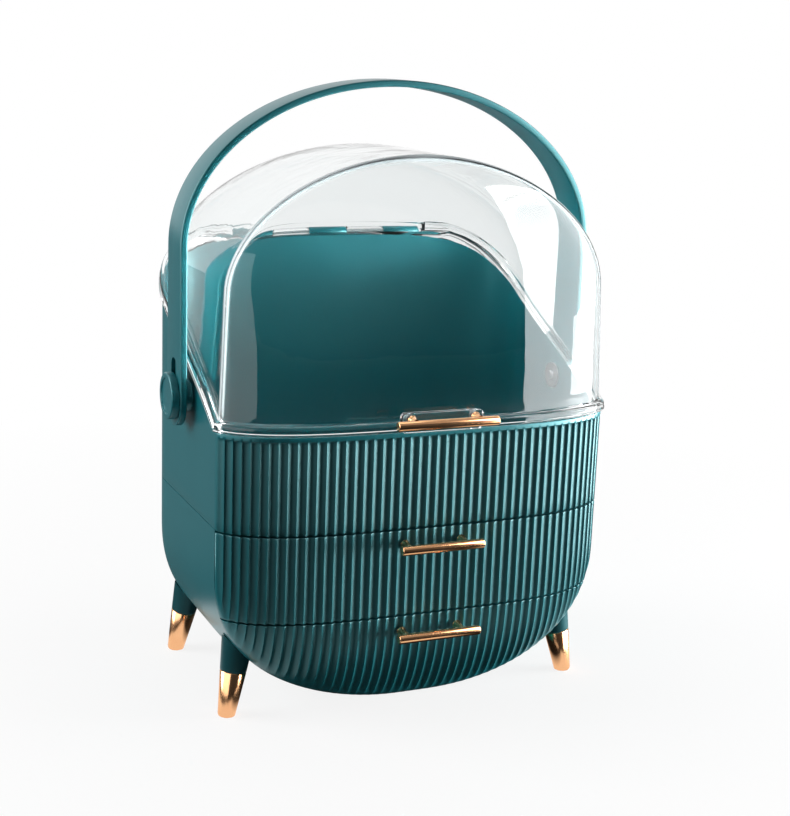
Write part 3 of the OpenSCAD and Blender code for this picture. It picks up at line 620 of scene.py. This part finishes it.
# ribbed panel between two heights: the bow less its flutes, on columns that each stand at one x, so
# that the ribs run on from panel to panel; behind it is a hollow with a wall all round
def makeFront(word, low, high, rowPower):
    wideTop = float(bellyHalf(high))
    columns = ribColumns[np.abs(ribColumns) < wideTop - 0.01]
    columns = join([[-wideTop], columns, [wideTop]])
    bottom = np.maximum(low, bellyEdge(columns))
    bottom[[0, -1]] = high
    steps = np.linspace(0, 1, fronts["rows"]) ** rowPower
    angles = np.radians(np.linspace(0, 90, 5))
    span = np.maximum(high - bottom, 1e-6)
    e = np.minimum(fronts["edge"], span * 0.2)

    def frontY(z, insetY, x=columns, grow=0.0):
        t = np.abs(x) / np.maximum(bellyHalf(z, grow=grow), 1e-6)
        depth = bowAt(z, grow) * flatEnd(t, case["bowPower"], case["bowEnd"])
        fade = np.clip(depth / ribs["fadeDepth"], 0, 1)
        fade = fade * np.clip((z - bellyEdge(x)) / ribs["fadeEdge"], 0, 1)
        mark = ribGroove(x) * fade if grow == 0 else 0 * x
        depth = np.maximum(0, depth - mark * ribs["depth"] - insetY)
        return -cornerY - depth, mark

    rows, marks = [], []

    def add(x, y, z, mark=0.0):
        rows.append(np.stack([x, y, z + 0 * x], 1))
        marks.append(mark + 0 * x)

    cut = bottom <= low + 0.01  # where the panel is cut level its lower edge is rounded, as its top is
    levels = [(bottom + e * (1 - math.cos(a)) * cut + span * 1e-4 * a, e * (1 - math.sin(a)) * cut)
              for a in angles[:-1]]
    levels += [(bottom + e * cut + (span - e - e * cut) * s, 0) for s in steps]
    levels += [(high - e * (1 - math.sin(a)), e * (1 - math.cos(a))) for a in angles[1:]]
    for z, inset in levels:
        y, mark = frontY(z, inset)
        add(columns, y, z, mark)
    back = fronts["back"] + 0 * columns
    add(columns, back, high)
    wall = case["frontWall"]
    hollowHigh, shrink = high - wall, 1 - wall
    inner = columns * float(bellyHalf(hollowHigh, grow=shrink)) / wideTop
    innerLow = np.minimum(np.maximum(low + wall, bellyEdge(inner, grow=shrink)), hollowHigh)
    add(inner, back, hollowHigh)
    for s in np.linspace(1, 0, fronts["hollowRows"]) ** rowPower:
        z = innerLow + (hollowHigh - innerLow) * s
        add(inner, frontY(z, fronts["hollowIn"], inner, shrink)[0], z)
    add(inner, back, innerLow)
    add(columns, back, bottom)
    shell = np.array(rows), gridQuads(len(rows), len(columns), wrapRows=True)
    # the groove attribute holds the flute depth, which the ribbed material uses for painted shade in the
    # flute bottoms
    makePiece(word + "_front", [shell], word + "_drawer", tealRibbed,
              [word + "_drawer_front"], 50, {"groove": join(marks)})


makeFront("upper", fronts["seam"] + fronts["gap"] / 2, tubZ - fronts["gap"], 1)
makeFront("lower", bellyZ + fronts["lowEdge"], fronts["seam"] - fronts["gap"] / 2, 1.7)

# clear cover
dome = {"top": 329.7, "springZ": 251.5, "half": 119.6, "inset": 1.4, "wall": 2.4, "archPower": 1.917,
        "crownPower": 2.2, "crownEnd": 0.9, "sideEnd": 0.72, "ridgeY": 10, "ridgePower": 4, "lean": 4,
        "leanPower": 1.5, "rows": 40, "columns": 120, "gap": 0.3, "flange": 2.2, "flangeH": 6.0,
        "footR": 0.8, "headR": 2.6, "step": 0.45, "stepZ": (1.5, 1.9, 2.3), "hingeSide": 5, "hingeIn": 0.5,
        "neck": ((0.5, 0.05), (0.15, 0.4)), "neckH": 0.9, "creaseWide": 1.3, "creaseFade": 0.8,
        "creaseEnd": 2}
across = np.sin(np.linspace(-math.pi / 2, math.pi / 2, dome["columns"] + 1))  # front columns, -1 to 1


# share of the cover's height that a height stands at
def coverShare(z, grow=0.0):
    return np.clip((z - rimFront) / (dome["top"] + grow - rimFront), 0, 1)


# how far the cover's front leans back at a share of its height: a power of the share
def leanAt(up):
    return dome["lean"] * up ** dome["leanPower"]


# half width of the arch at a height under its own top: a line up to springZ, then a superellipse
def archHalf(z, top, grow):
    half, springZ, power = pick(dome, "half springZ archPower")
    foot = sideHalf - dome["inset"] - half
    below = grow + half + foot * (springZ - z) / (springZ - rimFront)
    rise = np.clip((z - springZ) / np.maximum(top - springZ, 1e-6), 0, None)
    return np.where(z <= springZ, below, (grow + half) * flatEnd(rise, power, 1 / power))


# columns of the dome from the rim to the ridge: front columns keep their share of the half width
# and meet at the crown, side and back columns keep their depth and end on the ridge line
def domeColumns(grow, startUp):
    s = np.sin(np.linspace(0, math.pi / 2, dome["rows"]))[:, None]
    top, low, inset, ridgeY = dome["top"] + grow, rimFront + startUp, *pick(dome, "inset ridgeY")
    t = across[None]
    z = low + (top - low) * s + 0 * t
    up = coverShare(z, grow)
    bow = (case["bow"] - inset + grow) * flatEnd(up, dome["crownPower"], dome["crownEnd"])
    front = np.stack([archHalf(z, top, grow) * t, leanAt(up) - cornerY
                      - bow * flatEnd(np.abs(t), case["bowPower"], dome["sideEnd"]), z], -1)
    depth = backRound - inset + grow
    back = backPlan(1.0, depth)
    y = join([sideSteps[1:], back[:, 1]])
    rim = rimZ(y) + startUp
    run = np.clip(y - ridgeY, 0, None) / (roundY + depth - ridgeY)
    ridge = case["rimBack"] + (top - case["rimBack"]) * flatEnd(run, dome["ridgePower"], 0.5)
    ridge = np.maximum(ridge, rim + 0.01)
    z = rim[None] + (ridge - rim)[None] * s
    x = archHalf(z, ridge[None], grow) * join([np.ones(sideCount), back[:, 0]])[None]
    x[-1] = 0
    fade = np.clip((roundY - y) / (roundY + cornerY), 0, 1)
    right = np.stack([x, y[None] + leanAt(coverShare(z, grow)) * fade, z], -1)
    left = right[:, ::-1][:, 1:] * [-1, 1, 1]
    front[-1, :, 0] = 0
    return join([front, right, left], 1)


# outline of the flange with the same columns as the dome, cut back behind the hinge
def flangeRing(grow, height, hingeGrow):
    x = (sideHalf + grow) * backSteps[1:]
    near = np.clip((tub["hingeHalf"] + dome["hingeSide"] - x) / dome["hingeSide"], 0, 1)
    plan = planLoop(across, grow, grow, grow * (1 - near) + min(grow, hingeGrow) * near)
    return np.column_stack([plan, rimZ(plan[:, 1]) + height])


# where the painted highlight goes: 1 on the line where the cover's front turns to its sides, falling to 0 a
# short way off it
def creaseHighlightMask(points):
    z = points[..., 2]
    line = leanAt(coverShare(z)) - cornerY
    share = np.clip((dome["creaseWide"] - np.abs(points[..., 1] - line)) / dome["creaseFade"], 0, 1)
    return share * np.clip((z - rimFront - dome["flangeH"]) / dome["creaseEnd"], 0, 1)


# the flange's profile carried round the rim, then the dome's outer wall up to its ridge and its inner
# wall down again, with two of the hinge's knuckles
def makeCover():
    f, h, g, inset, foot, head = pick(dome, "flange flangeH gap inset footR headR")
    face = f - dome["step"]
    low, middle, high = (g + z for z in dome["stepZ"])
    profile = corner((f - foot, g + foot), foot, -90, 0, 6) + [(f, low), (face, middle), (face, high)]
    profile += corner((face - head, g + h - head), head, 0, 90, 9)
    profile += [(out - inset, g + h + up) for out, up in dome["neck"]]
    flange = np.array([flangeRing(grow, up, -inset - dome["hingeIn"]) for grow, up in profile])
    outer = domeColumns(0.0, g + h + dome["neckH"])
    inner = domeColumns(-dome["wall"], g)[::-1]
    points = join([flange, outer, inner])
    rows, count = points.shape[:2]
    quads = gridQuads(rows, count, wrapColumns=True, wrapRows=True)
    seam = len(flange) + len(outer)
    keep = np.ones(len(quads), bool)
    keep[(seam - 1) * count:seam * count] = False  # no faces between the two ridges
    shells = [(points, quads[keep])] + [knuckle(index) for index in range(1, tub["knuckles"], 2)]
    # the crease attribute masks the painted highlight; the knuckles get none
    crease = np.zeros(sum(part.size // 3 for part, _ in shells))
    crease[:rows * count] = creaseHighlightMask(points).reshape(-1)
    makePiece("cover", shells, "cover", clear, ["clear_cover"], 30, {"crease": crease})


makeCover()

# pull bars
bars = {"r": 2.9, "half": 26, "coverHalf": 31.5, "axisY": -104.9, "postR": 2.0, "postDown": 0.9, "drop": 8.6,
        "postX": 18, "coverPostX": 20, "end": 0.7, "coverZ": 182.3, "coverPostZ": 183.9,
        "flare": ((1.2, 0), (0.3, 0.7), (0, 0.8))}  # how a post widens at its base: (before it, wider)


# a round bar with rounded ends and two posts behind it: three turned profiles
def makeBar(name, half, z, postX, postZ, base, node, body):
    r, e, axisY, postR = pick(bars, "r end axisY postR")
    long, reach = 2 * half, -axisY - base
    along = [(0, 0)] + corner((e, r - e), e, 180, 90) + corner((long - e, r - e), e, 90, 0) + [(long, 0)]
    shells = [turned(along, (-half, axisY, z), (1, 0, 0))]
    foot = [(0, 0), (0, postR)] + [(reach - before, postR + wider) for before, wider in bars["flare"]]
    foot.append((reach, 0))
    for side in (-1, 1):
        shells.append(turned(foot, (side * postX, axisY, postZ), (0, 1, 0), 32))
    makePiece(name, shells, body, gold, [node], 50)


upperBarZ, lowerBarZ = tubZ - bars["drop"], fronts["seam"] - bars["drop"]
frontFace = cornerY + case["bow"]
makeBar("upper_bar", bars["half"], upperBarZ, bars["postX"], upperBarZ - bars["postDown"], frontFace,
        "upper_drawer_bar", "upper_drawer")
lowerPostZ = lowerBarZ - bars["postDown"]
lowerFace = cornerY + float(bowAt(np.array(lowerPostZ + bars["postR"])))
makeBar("lower_bar", bars["half"], lowerBarZ, bars["postX"], lowerPostZ, lowerFace, "lower_drawer_bar",
        "lower_drawer")
tab = {"half": 25.5, "thick": 5, "low": 176.2, "top": 187.6, "round": 2.6, "edge": 0.6}
tabFace = frontFace + dome["flange"] + tab["thick"]
makeBar("cover_pull", bars["coverHalf"], bars["coverZ"], bars["coverPostX"], bars["coverPostZ"], tabFace,
        "cover_bar", "cover")


# clear tab behind the cover's bar: a rounded plate, its outline inset near both faces to round its edges
def makeTab():
    half, r, low, top, thick, edge = pick(tab, "half round low top thick edge")
    levels = [(r, 0)] + edgeSteps(edge, (0, 30, 60, 90))
    levels += [(inset, thick - y) for inset, y in edgeSteps(edge, (90, 60, 30, 0))] + [(r, thick)]
    rings = []
    for inset, y in levels:
        plan = roundedOutline(half, low, top, r, 8, inset)
        rings.append(np.insert(plan, 1, y - tabFace, axis=1))
    middle = (low + top) / 2
    shell = closedRings(rings, (0, -tabFace, middle), (0, thick - tabFace, middle))
    makePiece("tab", [shell], "cover", clear, ["cover_tab"], 40)


makeTab()

# carry handle
handle = {"top": 370, "half": 132.8, "thick": 4.1, "widthTop": 26, "widthLow": 30.2, "taper": 1.2,
          "archZ": 272.5, "footZ": 181.4, "edge": 1.0, "slotR": 5.1, "slotLow": 196.2, "slotHigh": 202,
          "slotDepth": 2.2, "slotOut": 3}


# the band's outer line is straight up to archZ and half an ellipse over it; its inner line runs
# one thickness inside; its width tapers to the top and ends round at the pivots
def makeHandle():
    half, thick, top, footZ, archZ, taper = pick(handle, "half thick top footZ archZ taper")
    w0, w1 = handle["widthLow"] / 2, handle["widthTop"] / 2
    foot = np.radians(np.linspace(-90, 0, 14))
    legZ = np.linspace(footZ, archZ, 16)[1:]
    legW = join([w0 * np.cos(foot), w0 - taper * (legZ - footZ) / (archZ - footZ)])
    legZ = join([footZ + w0 * np.sin(foot), legZ])
    arch = np.radians(np.linspace(0, 180, 121))[1:-1]

    def line(inset):
        h = half - inset
        right = np.stack([h + 0 * legZ, legZ], 1)
        over = np.stack([h * np.cos(arch), archZ + (top - inset - archZ) * np.sin(arch)], 1)
        return join([right, over, right[::-1] * [-1, 1]])

    outer, inner = line(0), line(thick)
    wArch = w0 - taper + (w1 - w0 + taper) * np.sin(arch)
    width = join([legW, wArch, legW[::-1]])
    r = np.minimum(np.minimum(handle["edge"], width * 0.95), thick / 2)
    rings = []
    for cx, cy, startDeg in ((0, 1, 90), (0, -1, 180), (1, -1, 270), (1, 1, 0)):
        for c, s in corner((0, 0), 1, startDeg, startDeg + 90, 6):
            share = (cx * (thick - 2 * r) + r + r * c) / thick
            wide = cy * np.maximum(width - r, 0) + np.minimum(r, width) * s
            place = outer + (inner - outer) * share[:, None]
            rings.append(np.stack([place[:, 0], tub["pivot"][0] + wide, place[:, 1]], 1))
    points = np.array(rings).transpose(1, 0, 2)
    return points, gridQuads(len(points), len(rings), wrapColumns=True)


# a stadium-shaped plug across the band, to cut a slot with: two half circles, one over the other
def slotPlug(side):
    r, low, high = pick(handle, "slotR slotLow slotHigh")
    turn = np.radians(np.linspace(0, 360, 49)[:-1])
    lift = np.where(np.sin(turn) >= 0, high, low)
    outline = np.stack([tub["pivot"][0] + r * np.cos(turn), lift + r * np.sin(turn)], 1)
    rings = [np.insert(outline, 0, side * (handle["half"] + out), axis=1)
             for out in (-handle["slotDepth"], handle["slotOut"])]
    return closedRings(rings, rings[0].mean(0), rings[1].mean(0))


handlePiece = makePiece("handle", [makeHandle()], "handle", tealSmooth, ["carry_handle"], 40)
for side in (-1, 1):
    cutter = addObject("slot_plug", makeMesh("slot_plug", [slotPlug(side)]))
    cut = handlePiece.modifiers.new("slot", "BOOLEAN")
    cut.operation, cut.solver, cut.object = "DIFFERENCE", "EXACT", cutter
    bpy.context.view_layer.update()
    solved = handlePiece.evaluated_get(bpy.context.evaluated_depsgraph_get())
    handlePiece.data = bpy.data.meshes.new_from_object(solved)
    handlePiece.modifiers.clear()
    bpy.data.objects.remove(cutter)
print("handle with its slots", len(handlePiece.data.polygons), "faces")

cap = {"r": 14, "h": 4.8, "stub": 12, "stubR": 4.95, "chamfer": (0.3, 0.5), "edge": 0.9, "rim": 2.7,
       "lip": 0.3, "dish": (0.75, 3.5), "deep": 0.9}


# pivot cap: a stub into the boss, a rounded disc and a shallow dish in its face, all turned
def makeCap(side, word):
    r, h, edge, rim, lip, stub, stubR = pick(cap, "r h edge rim lip stub stubR")
    profile = [(-stub, 0), (-stub, stubR), (0, stubR), (0, r - cap["chamfer"][1]), (cap["chamfer"][0], r)]
    profile += corner((h - edge, r - edge), edge, 90, 0) + [(h, r - rim)]
    profile += corner((h - lip, r - rim - lip), lip, 0, -60, 3)
    profile += [(h - cap["dish"][0], r - cap["dish"][1]), (h - cap["deep"], 0)]
    shell = turned(profile, (side * handle["half"], *tub["pivot"]), (side, 0, 0), 72)
    makePiece(word + "_cap", [shell], "handle", tealSmooth, [word + "_pivot_cap"], 30)


makeCap(-1, "left")
makeCap(1, "right")

# legs
legs = {"footX": 113.6, "footY": 55.6, "splayX": 10, "splayY": 5.5, "footR": 5.4, "ankleR": 7.9,
        "capZ": 26.5, "round": 3.0, "sides": 48, "into": 1.0, "start": 0.02,
        "lip": ((0.35, 0.03), (0.1, 0.2), (0, 0.5)),  # top edge of the foot: (below it, in)
        "collar": ((0.02, 0.5), (0.12, 0.2), (0.4, 0.02))}  # bottom edge of the leg: (above it, in)


# where lines along the leg meet the belly, found by halving the stretch between outside and inside
def bellyMeet(start, axis):
    low = np.zeros(len(start))
    high = np.full(len(start), 60.0)
    for _ in range(40):
        middle = (low + high) / 2
        x, y, z = (start + axis * middle[:, None]).T
        power = powerAt(y)
        sideways = np.abs(x) / (sideHalf * backShare(y))
        down = np.clip(waistZ - z, 0, None) / (waistZ - undersideAt(y))
        inside = sideways ** power + down ** power < 1
        high = np.where(inside, middle, high)
        low = np.where(inside, low, middle)
    return high


# a foot and a leg on one leaning axis: the foot is a turned cone with a rounded sole, flat on the
# floor; the leg goes on with the same taper, each of its lines as long as it needs to meet the belly
def makeLeg(sx, sy, word):
    ax, ay = math.radians(sy * legs["splayY"]), math.radians(-sx * legs["splayX"])
    turn = np.array(Matrix.Rotation(ay, 3, "Y") @ Matrix.Rotation(ax, 3, "X"))
    axis = turn @ np.array([0, 0, 1.0])
    origin = np.array([sx * legs["footX"], sy * legs["footY"], 0])
    slant = math.sqrt(1 + math.tan(ax) ** 2 + math.tan(ay) ** 2)
    foot, ankle, capZ, r, sides = pick(legs, "footR ankleR capZ round sides")
    capLen = capZ * slant
    profile = [(-r / 2, 0)] + corner((r / 2, foot - r), r, 180, 90, 9)
    profile += [(capLen - below, ankle - inset) for below, inset in legs["lip"]] + [(capLen, 0)]
    points, quads = turned(profile, origin, axis, sides)
    points[..., 2] = np.maximum(points[..., 2], 0)
    makePiece(word + "_foot", [(points, quads)], "base", gold, [word + "_leg_cap"], 50)
    angle = np.linspace(0, 2 * math.pi, sides, endpoint=False)
    circle = np.stack([np.cos(angle), np.sin(angle), 0 * angle], 1) @ turn.T
    rings = [origin + axis * (capLen + up) + circle * (ankle - inset) for up, inset in legs["collar"]]
    meet = bellyMeet(origin + axis * capLen + circle * ankle, axis)[:, None] + legs["into"]
    taper = (ankle - foot) / capZ
    for share in np.linspace(0.06, 1, 14):
        rings.append(origin + axis * (capLen + meet * share) + circle * (ankle + taper * meet * share))
    shell = closedRings(rings, origin + axis * (capLen + legs["start"]), rings[-1].mean(0))
    makePiece(word + "_leg", [shell], "base", tealLegShaded, [word + "_leg"], 50)


for sy, end in ((-1, "front"), (1, "back")):
    makeLeg(-1, sy, end + "_left")
    makeLeg(1, sy, end + "_right")

# drawer trays
trays = {"wall": 2.0, "corner": 5.0, "edge": 0.9, "innerEdge": 0.9, "foot": 2, "fillet": 3, "rows": 18,
         "upper": (65.4, 111.4, 128, 1.0),  # underside, top, depth and slant
         "lower": (12, 59.7, 108, 1.3), "upperHalf": 113, "lowerIn": 12.6}


# rings of a rounded rectangle whose half width follows the height: outside up, over the edge and
# inside down; slant is how much thicker a leaning side wall is across than through
def makeTray(word, halfAt):
    low, top, depth, slant = trays[word]
    wall, edge, rounding, foot, fillet = pick(trays, "wall edge corner foot fillet")
    front, rings = fronts["back"], []

    def add(z, insetX, insetY, r):
        half = float(halfAt(np.clip(z, low, top))) - insetX
        plan = roundedOutline(half, front + insetY, front + depth - insetY, min(r, half - 0.1), 9)
        rings.append(np.insert(plan, 2, z, axis=1))

    for inset, up in edgeSteps(foot, (0, 30, 60, 90)):
        add(low + up, inset, inset, rounding)
    for z in np.linspace(low + foot, top - edge, trays["rows"])[1:]:
        add(z, 0, 0, rounding)
    for drop, inset in edgeSteps(edge, (30, 60, 90)):
        add(top - drop, inset, inset, rounding)
    for drop, off in edgeSteps(edge, (90, 60, 30, 0)):
        inset = wall - off * trays["innerEdge"]
        add(top - drop, inset * slant, inset, rounding - wall)
    for z in np.linspace(top - edge, low + wall + fillet, trays["rows"])[1:]:
        add(z, wall * slant, wall, rounding - wall)
    for up, off in edgeSteps(fillet, (30, 60, 90)):
        add(low + wall + up, (wall + off) * slant, wall + off, rounding - wall)
    middle = front + depth / 2
    shell = closedRings(rings, (0, middle, low), (0, middle, low + wall))
    makePiece(word + "_tray", [shell], word + "_drawer", tealInside, [word + "_drawer_tray"], 40)


makeTray("upper", lambda z: trays["upperHalf"])
makeTray("lower", lambda z: bellyHalf(z) - trays["lowerIn"])

# CAD nodes that keep their own shape
finishes = {"drawer_shelf": tealInside, "hinge_pin": steel}
for word in ("casing", "upper_bar", "upper_front", "lower_bar", "lower_front", "cover_bar", "leg"):
    finishes[word + "_screws"] = steel
for side in ("left", "right"):
    finishes[side + "_pivot_washer"] = finishes[side + "_pivot_screw"] = steel
for word, finish in finishes.items():
    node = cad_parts[word]
    node.data.materials.clear()
    node.data.materials.append(finish)
print("materials on", len(finishes), "carried nodes")

# stage, lamps and camera
stage = {
    "size": 6.0,  # half width of the floor, in metres
    "floor": (0.86, 0.87, 0.87, 1),  # its colour, and what it throws back on the object
    "bounce": (0.4, 0.4, 0.4, 1),
    "rough": 0.6,
    "specular": 0.2,
    "whiteOver": (0.15, 0.7),  # distances over which it turns to plain white
    "fill": 0.85,  # share of white at the first of them
    "ahead": -0.25,  # reflections inside the clear walls see no floor
    "behind": 0.35,  # before the first depth, or beyond two walls the second
    "feet": ((0.085, 0.21), (-0.16, 0.1)),  # floor that metal sees white: by the feet
    "bars": ((-1.0, 0.06), (-0.21, -0.12)),  # and below the bars
    "soft": 0.02,
    "rearOver": (0.0, 0.3),  # elsewhere it sees this much, front and rear
    "rear": (0.015, 0.2),
    "air": 0.05,  # light from the sky itself
    "airColour": (0.9, 0.95, 1.0, 1),
    "ceiling": 0.35,  # its share in reflections, from these heights on
    "ceilingOver": (0.5, 0.75),
    "backdropOver": (0.3, 0.6),  # directions over which the backdrop comes in
    "forwardOver": (-0.4, -0.2),  # and the clear walls stop reflecting the sky
    "awayOver": (0.1, 0.4),
}
floorMesh = bpy.data.meshes.new("floor")
s = stage["size"]
floorMesh.from_pydata([(-s, -s, 0), (s, -s, 0), (s, s, 0), (-s, s, 0)], [], [(0, 1, 2, 3)])
floor = addObject("floor", floorMesh)
f = Recipe("floor")
seen, refracted, mirrored, scattered, reflected, crossed, piped = f.lightPath()
spot = f.place()
inward, sideways = f.part(spot, 1), f.part(spot, 0).maths("ABSOLUTE")
ahead = inward.maths("LESS_THAN", stage["ahead"]) * (1 - piped)
away = inward.maths("LESS_THAN", stage["behind"])
stopped = reflected * (crossed * away + ahead).maths("MINIMUM", 1.0)
straight = refracted * (1 - scattered) * (1 - stopped)
distance = f.node("VectorMath", {"operation": "LENGTH"}, {0: spot}, output=1)
far = f.ramp(distance, stage["whiteOver"], stage["fill"])
glow = f.ramp(inward, stage["rearOver"], *stage["rear"])
for wide, deep in (stage["feet"], stage["bars"]):
    glow = glow + f.between(sideways, wide, stage["soft"]) * f.between(inward, deep, stage["soft"])
matt = f.node("BsdfPrincipled", None, {"Base Color": f.mixColour(seen, stage["bounce"], stage["floor"]),
                                       "Roughness": stage["rough"], "Specular IOR Level": stage["specular"]})
bright = f.node("Emission", None, {"Color": (1, 1, 1, 1), "Strength": 1.0})
dim = f.node("Emission", None, {"Color": (0, 0, 0, 1), "Strength": 0.0})
plain = f.mixShader((seen + straight) * far, matt, bright)
shiny = f.mixShader(glow.maths("MINIMUM", 1.0), dim, bright)
floorMesh.materials.append(f.surface(f.mixShader(mirrored, plain, shiny)))
print("floor")

world = bpy.data.worlds.new("studio")
bpy.context.scene.world = world
sky = Recipe("sky", world)
seen, refracted, mirrored, scattered, reflected, crossed, piped = sky.lightPath()
direction = sky.place("Generated")
rearward, height = sky.part(direction, 1), sky.part(direction, 2)
forward = sky.ramp(rearward, stage["forwardOver"], 1.0, 0.0) * (1 - piped)
away = sky.ramp(rearward, stage["awayOver"], 1.0, 0.0)
onward = refracted * (1 - reflected * (crossed * away + forward).maths("MINIMUM", 1.0))
backdrop = sky.ramp(rearward, stage["backdropOver"])
lit = (1 - scattered) * (onward + mirrored * (sky.ramp(height, stage["ceilingOver"]) * stage["ceiling"]
                                              + backdrop))
air = sky.node("Background", None, {0: stage["airColour"], 1: stage["air"]})
white = sky.node("Background", None, {0: (1, 1, 1, 1), 1: 1.0})
sky.surface(sky.mixShader((seen + lit).maths("MINIMUM", 1.0), air, white))

# white cards that only reflections see, each between two floor places and two heights
cards = {
    # name: (start, end, low, high, strength)
    "right_card": ((0.3, -0.43), (0.5, -0.04), 0.0, 0.6, 9.5),
    "left_card": ((-0.9, 0.1), (-0.56, -0.72), 0.05, 0.7, 2.1),
}
for name, (start, end, low, high, strength) in cards.items():
    mesh = bpy.data.meshes.new(name)
    mesh.from_pydata([(*start, low), (*end, low), (*end, high), (*start, high)], [], [(0, 1, 2, 3)])
    card = addObject(name, mesh)
    paint = Recipe(name)
    mesh.materials.append(paint.surface(paint.node("Emission", None, {0: (1, 1, 1, 1), 1: strength})))
    card.visible_camera = card.visible_diffuse = card.visible_transmission = card.visible_shadow = False

lampList = {
    # name: (place, target, width, height, watts)
    "left_box": ((-1.5, 0.55, 0.7), (0, 0, 0.2), 1.0, 1.3, 33),
    "right_box": ((1.1, -0.3, 0.11), (0, 0, 0.11), 0.6, 0.2, 42),
    "top_box": ((0.0, 0.3, 1.8), (0, 0, 0.1), 1.2, 1.2, 6),
}
for name, (place, target, wide, tall, watts) in lampList.items():
    lamp = bpy.data.lights.new(name, "AREA")
    lamp.shape = "RECTANGLE"
    lamp.size, lamp.size_y, lamp.energy = wide, tall, watts
    holder = addObject(name, lamp)
    holder.location = place
    holder.rotation_euler = (Vector(target) - Vector(place)).to_track_quat("-Z", "Y").to_euler()
print("sky, cards and lamps")

view = {"place": (-0.37347, -0.869466, 0.388442), "yaw": 0.416, "pitch": 0.228, "roll": 0.038,
        "focal": 1552.329, "side": 816, "sensor": 36, "nearest": 0.01}
cameraData = bpy.data.cameras.new("camera")
cameraData.sensor_width = view["sensor"]
cameraData.lens = view["focal"] / view["side"] * view["sensor"]
cameraData.clip_start = view["nearest"]
camera = addObject("camera", cameraData)
aim = Matrix.Translation(view["place"])
for angle, axis in ((-view["yaw"], "Z"), (math.pi / 2 - view["pitch"], "X"), (view["roll"], "Z")):
    aim = aim @ Matrix.Rotation(angle, 4, axis)
camera.matrix_world = aim
bpy.context.scene.camera = camera
bpy.context.scene.view_settings.view_transform = "Standard"
